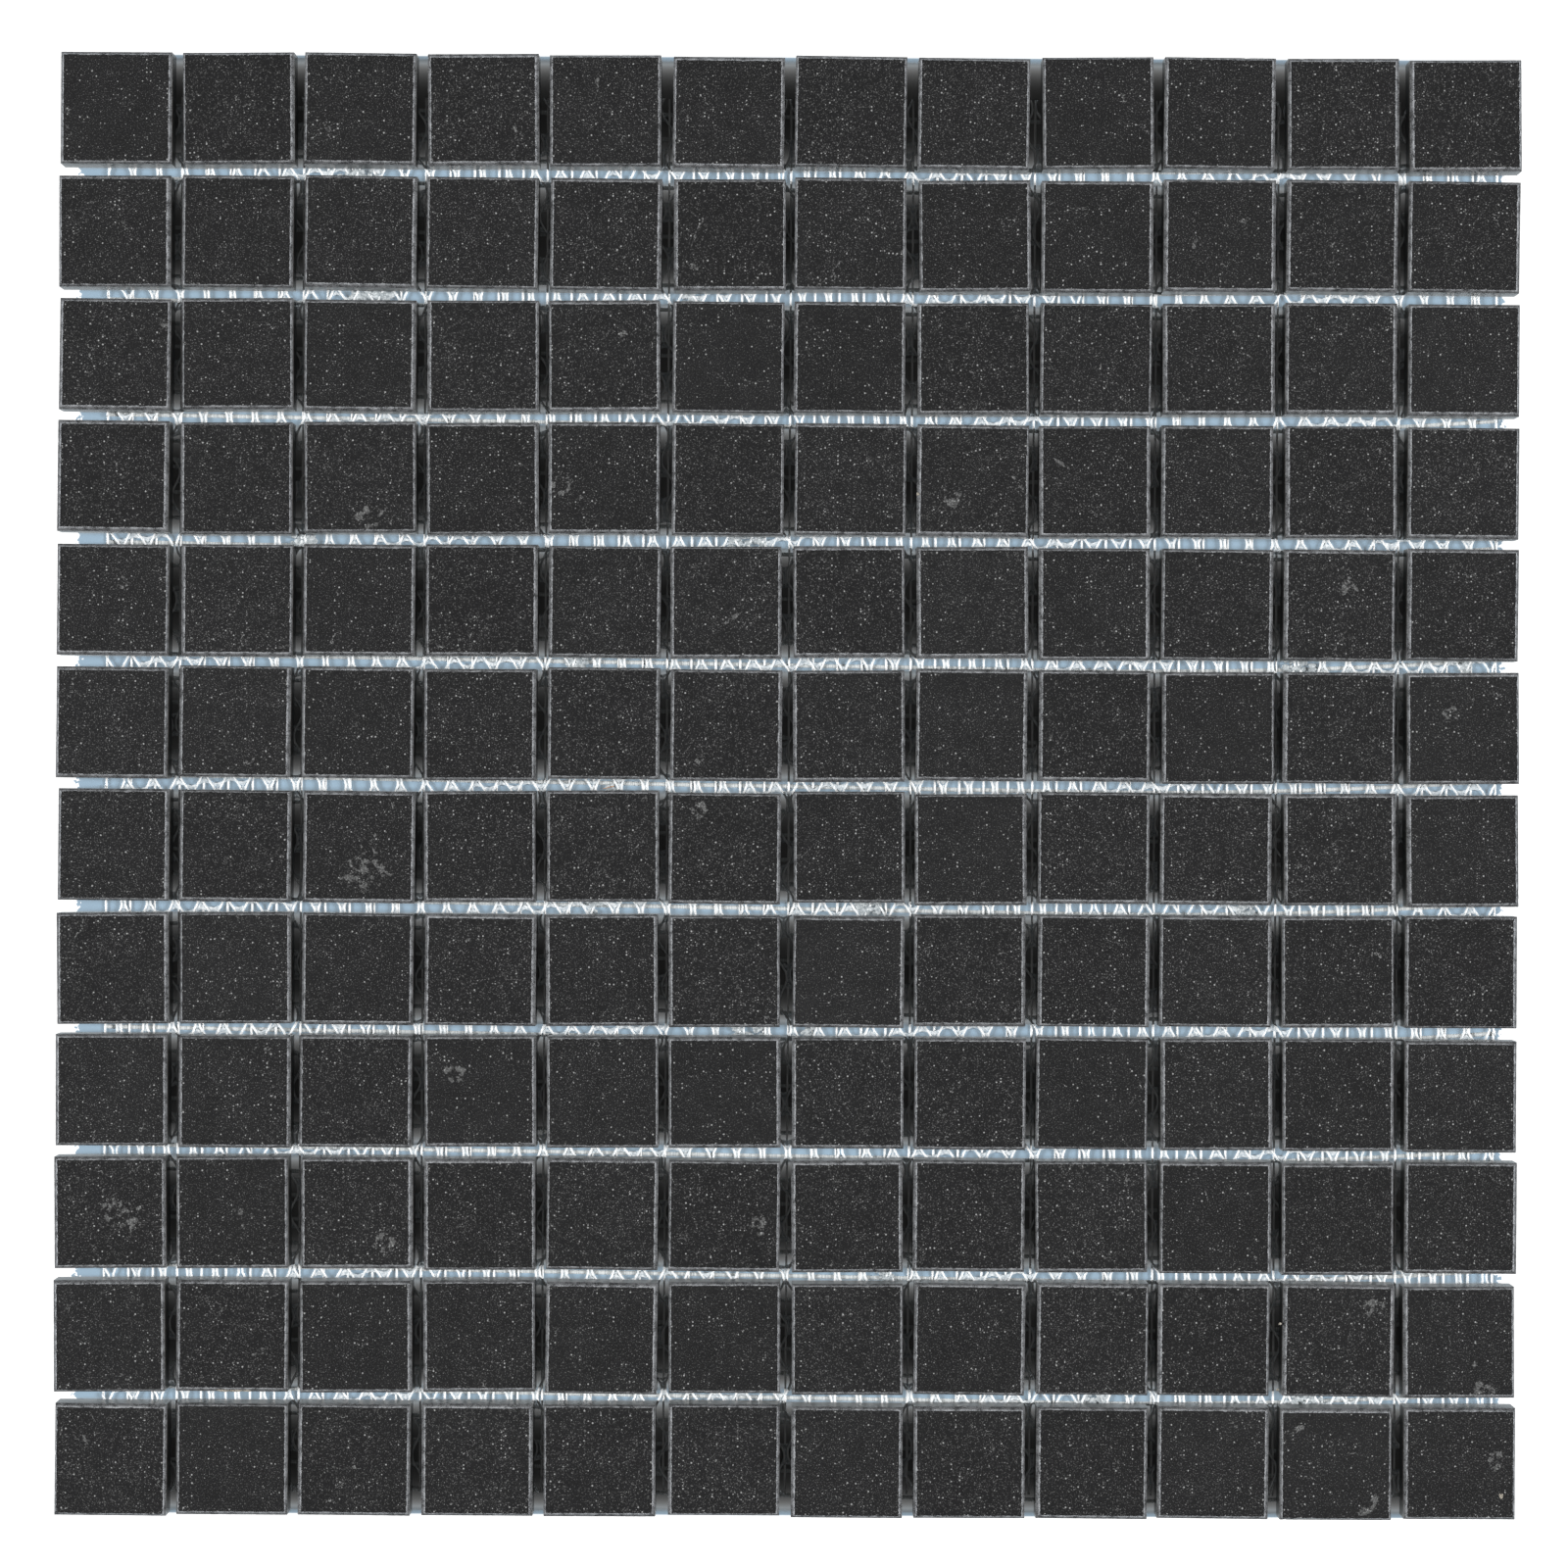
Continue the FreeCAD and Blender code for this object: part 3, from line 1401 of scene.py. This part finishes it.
@dataclass(frozen=True)
class GlueStretch:
    """Adhesive squeezed up between two rows of chips, by joint from the top, from 1."""

    joint: int
    start: float
    end: float


GLUE_STRETCHES = (
    GlueStretch(1, -92.5, -83.5),
    GlueStretch(2, -90.5, -80.5),
    GlueStretch(2, -22.0, -18.5),
    GlueStretch(4, -102.0, -97.0),
    GlueStretch(4, -12.0, -5.0),
    GlueStretch(5, -45.6, -41.6),
    GlueStretch(5, 102.0, 108.0),
    GlueStretch(5, 136.5, 140.0),
    GlueStretch(6, -37.0, -34.5),
    GlueStretch(7, -41.0, -38.0),
    GlueStretch(7, 14.0, 19.5),
    GlueStretch(7, 92.0, 95.5),
    GlueStretch(8, -11.5, -5.0),
    GlueStretch(8, 3.0, 5.5),
    GlueStretch(10, 18.0, 22.5),
    GlueStretch(11, 62.0, 66.0),
    GlueStretch(11, 104.0, 110.0),
)


@dataclass
class SqueezedGlue:
    """Lumps of adhesive that filled the net where it was laid on thick."""

    chip_pitch: float = 25.0 * MM
    half_joint: float = 1.3 * MM
    spacing: float = 0.22 * MM
    radius: tuple[float, float] = (0.35 * MM, 0.8 * MM)
    rise: tuple[float, float] = (0.15 * MM, 0.3 * MM)
    roughness: float = 0.18 * MM
    rough_feature: float = 0.5 * MM
    net_top: float = 0.85 * MM
    seed: int = 31

    def build(self, finish: bpy.types.Material) -> bpy.types.Object:
        """Make all the lumps as one piece.

        Args:
            finish: The adhesive's material.

        Returns:
            The piece.
        """
        draw = random.Random(self.seed)
        bm = bmesh.new()
        for stretch in GLUE_STRETCHES:
            line = (6 - stretch.joint) * self.chip_pitch
            for _ in range(round((stretch.end - stretch.start) * MM / self.spacing)):
                place = Vector(
                    (
                        draw.uniform(stretch.start, stretch.end) * MM,
                        line + draw.uniform(-self.half_joint, self.half_joint),
                        self.net_top - self.rise[0],
                    )
                )
                radius = draw.uniform(*self.radius)
                scale = Matrix.Diagonal(
                    (radius, radius * draw.uniform(0.6, 1.0), draw.uniform(*self.rise), 1)
                )
                bmesh.ops.create_icosphere(
                    bm, subdivisions=2, radius=1, matrix=Matrix.Translation(place) @ scale
                )
        for vertex in bm.verts:
            vertex.co += drift(vertex.co, self.rough_feature, self.roughness)
        for face in bm.faces:
            face.smooth = True
        piece = piece_from("squeezed_glue", mesh_from("squeezed_glue", bm))
        piece.data.materials.append(finish)
        report(piece)
        return piece


@dataclass(frozen=True)
class Crumb:
    """A crumb by its place from the sheet's middle, its size and its turn."""

    x: float
    y: float
    z: float
    length: float
    width: float
    turn: float = 0.0


CRUMBS = (
    Crumb(26.3, 59.7, 8.7, 0.7, 0.6),
    Crumb(100.8, -109.0, 8.6, 0.6, 0.5),
    Crumb(100.4, -122.4, 8.6, 0.6, 0.5),
    Crumb(146.0, -143.8, 8.85, 0.9, 1.1),
    Crumb(-148.0, -32.5, 8.2, 0.5, 1.8),
    Crumb(-147.9, -35.0, 8.2, 0.5, 1.2),
    Crumb(-114.4, -123.55, 8.3, 2.6, 0.5, -3.0),
    Crumb(-111.7, -123.6, 8.3, 2.8, 0.45, 2.0),
    Crumb(-109.5, -123.6, 8.35, 1.6, 0.4),
)


@dataclass
class Crumbs:
    """Crumbs of stone sludge left on the chips and in the joints."""

    height: float = 0.3 * MM
    roughness: float = 0.22
    seed: int = 5

    def build(self, finish: bpy.types.Material) -> bpy.types.Object:
        """Make all the crumbs as one piece.

        Args:
            finish: The crumbs' material.

        Returns:
            The piece.
        """
        bm = bmesh.new()
        for crumb in CRUMBS:
            place = Vector((crumb.x, crumb.y, crumb.z)) * MM
            turn = Matrix.Rotation(math.radians(crumb.turn), 4, "Z")
            scale = Matrix.Diagonal(
                (crumb.length / 2 * MM, crumb.width / 2 * MM, self.height / 2, 1)
            )
            made = bmesh.ops.create_icosphere(
                bm, subdivisions=3, radius=1, matrix=Matrix.Translation(place) @ turn @ scale
            )
            for vertex in made["verts"]:
                away = vertex.co - place
                vertex.co = place + away * (
                    1 + self.roughness * 2 * noise.noise(vertex.co / (0.25 * MM))
                )
        piece = piece_from("stone_crumbs", mesh_from("stone_crumbs", bm))
        piece.data.materials.append(finish)
        report(piece)
        return piece


@dataclass
class StrayFibre:
    """One orange fibre caught on the net between the sixth and seventh rows."""

    route: tuple[tuple[float, float], ...] = (
        (-37.9, -0.62),
        (-37.2, -0.5),
        (-36.6, -0.25),
        (-36.1, -0.3),
        (-35.6, 0.0),
    )
    height: float = 0.95 * MM
    section: StrandSection = field(default_factory=lambda: StrandSection(0.12 * MM, 0.12 * MM))

    def build(self, finish: bpy.types.Material) -> bpy.types.Object:
        """Make the fibre's piece.

        Args:
            finish: The fibre's material.

        Returns:
            The piece.
        """
        path = [Vector((x * MM, y * MM, self.height)) for x, y in self.route]
        piece = piece_from("stray_fibre", mesh_from("stray_fibre", swept([path], self.section, 4)))
        piece.data.materials.append(finish)
        report(piece)
        return piece


@dataclass(frozen=True)
class StudioFloor:
    """A pale sweep: white in the open, with painted shade under the sheet and between the chips.

    The shade is painted by place: bluish near the lit joints and grey farther from them. The
    white reaches a little way into the rows from the left and from the right, and its edge there
    is ragged.
    """

    # Painted shade: bluish near the lit joints, grey farther from them
    shade: tuple[float, float, float, float] = (0.17, 0.255, 0.335, 1.0)
    # Painted bounce light: colours and reach of an emission on the floor near the lit joints
    glow_colour: tuple[float, float, float, float] = (0.31, 0.345, 0.365, 1.0)
    bounce: tuple[float, float, float, float] = (0.6, 0.66, 0.7, 1.0)
    joint_pitch: float = 25 * MM
    far_shade: tuple[float, float, float, float] = (0.25, 0.25, 0.245, 1.0)
    far_glow: tuple[float, float, float, float] = (0.335, 0.34, 0.34, 1.0)
    lit_half: tuple[float, float] = (1.0 * MM, 3.0 * MM)
    glow_reach: float = 1.6 * MM
    glow_start: float = 2.35
    glow_most: tuple[float, float] = (0.42, 1.1)
    shade_middle: tuple[float, float, float] = (0.35 * MM, 0.0, 0.0)
    shade_half: tuple[float, float] = (146.1 * MM, 149.7 * MM)
    rag: float = 2.8 * MM
    rag_feature: float = 0.9 * MM
    size: float = 4.0

    def openness(self, tree: bpy.types.NodeTree) -> bpy.types.NodeSocket:
        """Where the floor is white as in the open, and not painted shade.

        Args:
            tree: The material's tree.

        Returns:
            Value from 0 to 1.
        """
        here = add_node(tree, "TexCoord").outputs["Object"]
        away = add_node(
            tree, "VectorMath", {0: here, 1: self.shade_middle}, operation="SUBTRACT"
        )
        level = add_node(tree, "VectorMath", {0: away.outputs[0]}, operation="ABSOLUTE")
        sides = add_node(tree, "SeparateXYZ", {0: level.outputs[0]})
        noise_of = add_node(
            tree, "TexNoise", {"Vector": here, "Scale": 1 / self.rag_feature, "Detail": 2.0}
        )
        ragged = add_node(
            tree,
            "Math",
            {0: noise_of.outputs[0], 1: 2 * self.rag, 2: sides.outputs[0]},
            operation="MULTIPLY_ADD",
        )
        past_x = add_node(
            tree,
            "Math",
            {0: ragged.outputs[0], 1: self.shade_half[0] + self.rag},
            operation="SUBTRACT",
        )
        past_y = add_node(
            tree, "Math", {0: sides.outputs[1], 1: self.shade_half[1]}, operation="SUBTRACT"
        )
        past = add_node(
            tree, "Math", {0: past_x.outputs[0], 1: past_y.outputs[0]}, operation="MAXIMUM"
        )
        return add_node(
            tree, "MapRange", {0: past.outputs[0], 1: -0.15 * MM, 2: 0.15 * MM}
        ).outputs[0]

    def past_joint(self, tree: bpy.types.NodeTree) -> bpy.types.NodeSocket:
        """How far a place lies from the middle of the nearest lit joint."""
        here = add_node(tree, "TexCoord").outputs["Object"]
        sides = add_node(tree, "SeparateXYZ", {0: here})
        return add_node(
            tree, "Math", {0: sides.outputs[1], 1: self.joint_pitch / 2}, operation="PINGPONG"
        ).outputs[0]

    def glow(
        self,
        tree: bpy.types.NodeTree,
        away: bpy.types.NodeSocket,
        dusk: bpy.types.NodeSocket,
    ) -> bpy.types.NodeSocket:
        """Painted bounce light: an emission that stands in for the light the net in a lit joint throws
        a little way under the joints across it.

        Args:
            tree: The material's tree.
            away: Distance from the middle of the lit joint.
            dusk: Value that goes from 0 in the lit joint to 1 beyond it.

        Returns:
            Its strength.
        """
        share = add_node(tree, "Math", {0: away, 1: -1 / self.glow_reach}, operation="MULTIPLY")
        fade = add_node(tree, "Math", {0: share.outputs[0]}, operation="EXPONENT")
        level = add_node(
            tree, "Math", {0: fade.outputs[0], 1: self.glow_start}, operation="MULTIPLY"
        )
        most = add_node(tree, "MapRange", {0: dusk, 3: self.glow_most[0], 4: self.glow_most[1]})
        return add_node(
            tree, "Math", {0: level.outputs[0], 1: most.outputs[0]}, operation="MINIMUM"
        ).outputs[0]

    def material(self) -> bpy.types.Material:
        """Build the node material."""
        material, tree = new_material("pale_studio_floor")
        away = self.past_joint(tree)
        dusk = add_node(
            tree, "MapRange", {0: away, 1: self.lit_half[0], 2: self.lit_half[1]}
        ).outputs[0]
        # Painted shade: the floor's colour under the sheet changes by place
        shade, glow_colour = (
            add_node(tree, "Mix", {0: dusk, MIX_A: near, MIX_B: far}, data_type="RGBA").outputs[
                MIX_RESULT
            ]
            for near, far in (
                (self.shade, self.far_shade),
                (self.glow_colour, self.far_glow),
            )
        )
        # Painted bounce light: the floor itself emits near each lit joint
        painted_glow = add_node(
            tree, "Emission", {"Color": glow_colour, "Strength": self.glow(tree, away, dusk)}
        )
        shaded = add_node(
            tree,
            "AddShader",
            {
                0: add_node(tree, "BsdfDiffuse", {"Color": shade}).outputs[0],
                1: painted_glow.outputs[0],
            },
        )
        white = add_node(
            tree,
            "AddShader",
            {
                0: add_node(tree, "BsdfDiffuse", {"Color": (0.3, 0.3, 0.3, 1.0)}).outputs[0],
                1: add_node(tree, "Emission", {"Strength": 0.9}).outputs[0],
            },
        )
        # The camera sees painted shade under the sheet and the white floor in the open
        seen = add_node(
            tree,
            "MixShader",
            {0: self.openness(tree), 1: shaded.outputs[0], 2: white.outputs[0]},
        )
        # Other rays see the floor's bounce colour and the painted glow, which lights the chips' sides
        other = add_node(
            tree,
            "AddShader",
            {
                0: add_node(tree, "BsdfDiffuse", {"Color": self.bounce}).outputs[0],
                1: painted_glow.outputs[0],
            },
        )
        path = add_node(tree, "LightPath")
        shader = add_node(
            tree,
            "MixShader",
            {0: path.outputs["Is Camera Ray"], 1: other.outputs[0], 2: seen.outputs[0]},
        )
        close_material(tree, shader)
        return material

    def build(self) -> bpy.types.Object:
        """Lay the floor."""
        bm = bmesh.new()
        bmesh.ops.create_grid(bm, x_segments=1, y_segments=1, size=self.size / 2)
        mesh = mesh_from("studio_floor", bm)
        floor = bpy.data.objects.new("studio_floor", mesh)
        floor.location.z = -0.02 * MM
        bpy.context.scene.collection.objects.link(floor)
        floor.data.materials.append(self.material())
        return floor


@dataclass
class Studio:
    """The camera straight over the sheet, a low soft lamp on each side and a dim world."""

    frame_centre: tuple[float, float] = (-0.71 * MM, 0.5 * MM)
    frame_width: float = 319.25 * MM
    lens: float = 116.0
    sensor: float = 36.0
    roll: float = math.radians(0.26)
    lamp_elevation: float = math.radians(36)
    lamp_distance: float = 4.2
    lamp_size: tuple[float, float] = (0.6, 1.4)
    lamp_power: float = 195.0
    world_level: float = 0.14
    gloss_level: float = 0.21

    def add_camera(self) -> None:
        """Hang the camera so that the chips' faces fill the frame as measured."""
        top = CAD_BOX[1].z
        data = bpy.data.cameras.new("sheet_camera")
        data.lens = self.lens
        data.sensor_width = self.sensor
        camera = bpy.data.objects.new("sheet_camera", data)
        distance = self.frame_width * self.lens / self.sensor
        camera.location = (*self.frame_centre, top + distance)
        camera.rotation_euler = (0, 0, self.roll)
        bpy.context.scene.collection.objects.link(camera)
        bpy.context.scene.camera = camera

    def add_lamp(self, side: LampSide) -> None:
        """Set up one lamp, level along the sheet's rows.

        Args:
            side: Which side it stands on.
        """
        data = bpy.data.lights.new(f"lamp_{side.name.lower()}", "AREA")
        data.shape = "RECTANGLE"
        data.size, data.size_y = self.lamp_size
        data.energy = self.lamp_power
        lamp = bpy.data.objects.new(data.name, data)
        away = Vector(
            (side.value * math.cos(self.lamp_elevation), 0, math.sin(self.lamp_elevation))
        )
        lamp.location = away * self.lamp_distance
        lamp.rotation_euler = away.to_track_quat("Z", "Y").to_euler()
        bpy.context.scene.collection.objects.link(lamp)

    def add_world(self) -> None:
        """Light the world dimly, show it white and let gloss see it half bright."""
        world = bpy.data.worlds.new("studio_world")
        bpy.context.scene.world = world
        world.use_nodes = True
        tree = world.node_tree
        tree.nodes.clear()
        path = add_node(tree, "LightPath")
        glossy = add_node(
            tree,
            "MapRange",
            {0: path.outputs["Is Glossy Ray"], 3: self.world_level, 4: self.gloss_level},
        )
        seen = add_node(
            tree, "Math", {0: glossy.outputs[0], 1: path.outputs["Is Camera Ray"]}, operation="MAXIMUM"
        )
        ground = add_node(tree, "Background", {"Color": (1, 1, 1, 1), "Strength": seen.outputs[0]})
        add_node(tree, "OutputWorld", {"Surface": ground.outputs[0]})

    def build(self) -> None:
        """Set up the camera, the lamps, the world and the floor."""
        bpy.context.scene.view_settings.view_transform = "Standard"
        self.add_camera()
        for side in LampSide:
            self.add_lamp(side)
        self.add_world()
        StudioFloor().build()


def main() -> None:
    """Build the sheet's pieces in order and log each one."""
    logging.basicConfig(level=logging.INFO, format="%(name)s %(message)s")
    Studio().build()
    stone = [finish.material() for finish in (PolishedStone(), GroundStone(), SawnStone())]
    for number in range(1, 13):
        ChipRow(number).build(stone)
    net = KnittedNet()
    yarn = Roving("knitted_polyester_yarn", "#fafbfb", "#d3d9dc", lean=net.lean)
    net.build(yarn.material())
    film = SettingGlue("dried_glue_film", "#eef1f2", "#b4c0c8", 0.4, 0.9)
    GlueWebs(net).build(film.material())
    lump = SettingGlue("dried_glue_lump", "#ccd2d4", "#8c959a", 0.75, 1.0)
    SqueezedGlue().build(lump.material())
    Crumbs().build(StoneDust().material())
    StrayFibre().build(Roving("orange_textile_fibre", "#d79b66", "#a9693c").material())
    warp = Roving("glass_roving_warp", "#ffffff", "#dadcdb")
    ScrimLayer(
        "scrim_warp", "scrim_warps", "glass_warp", 0.6 * MM, 0.25 * MM, True, 0.25 * MM
    ).build(warp.material())
    weft = Roving("glass_roving_weft", "#dfe2e1", "#b2b8ba", lean=math.radians(90), cover=0.85)
    WeftLayer(
        "scrim_weft", "scrim_wefts", "glass_weft", 1.1 * MM, 0.25 * MM, False, 0.0
    ).build(weft.material())


if __name__ == "__main__":
    main()
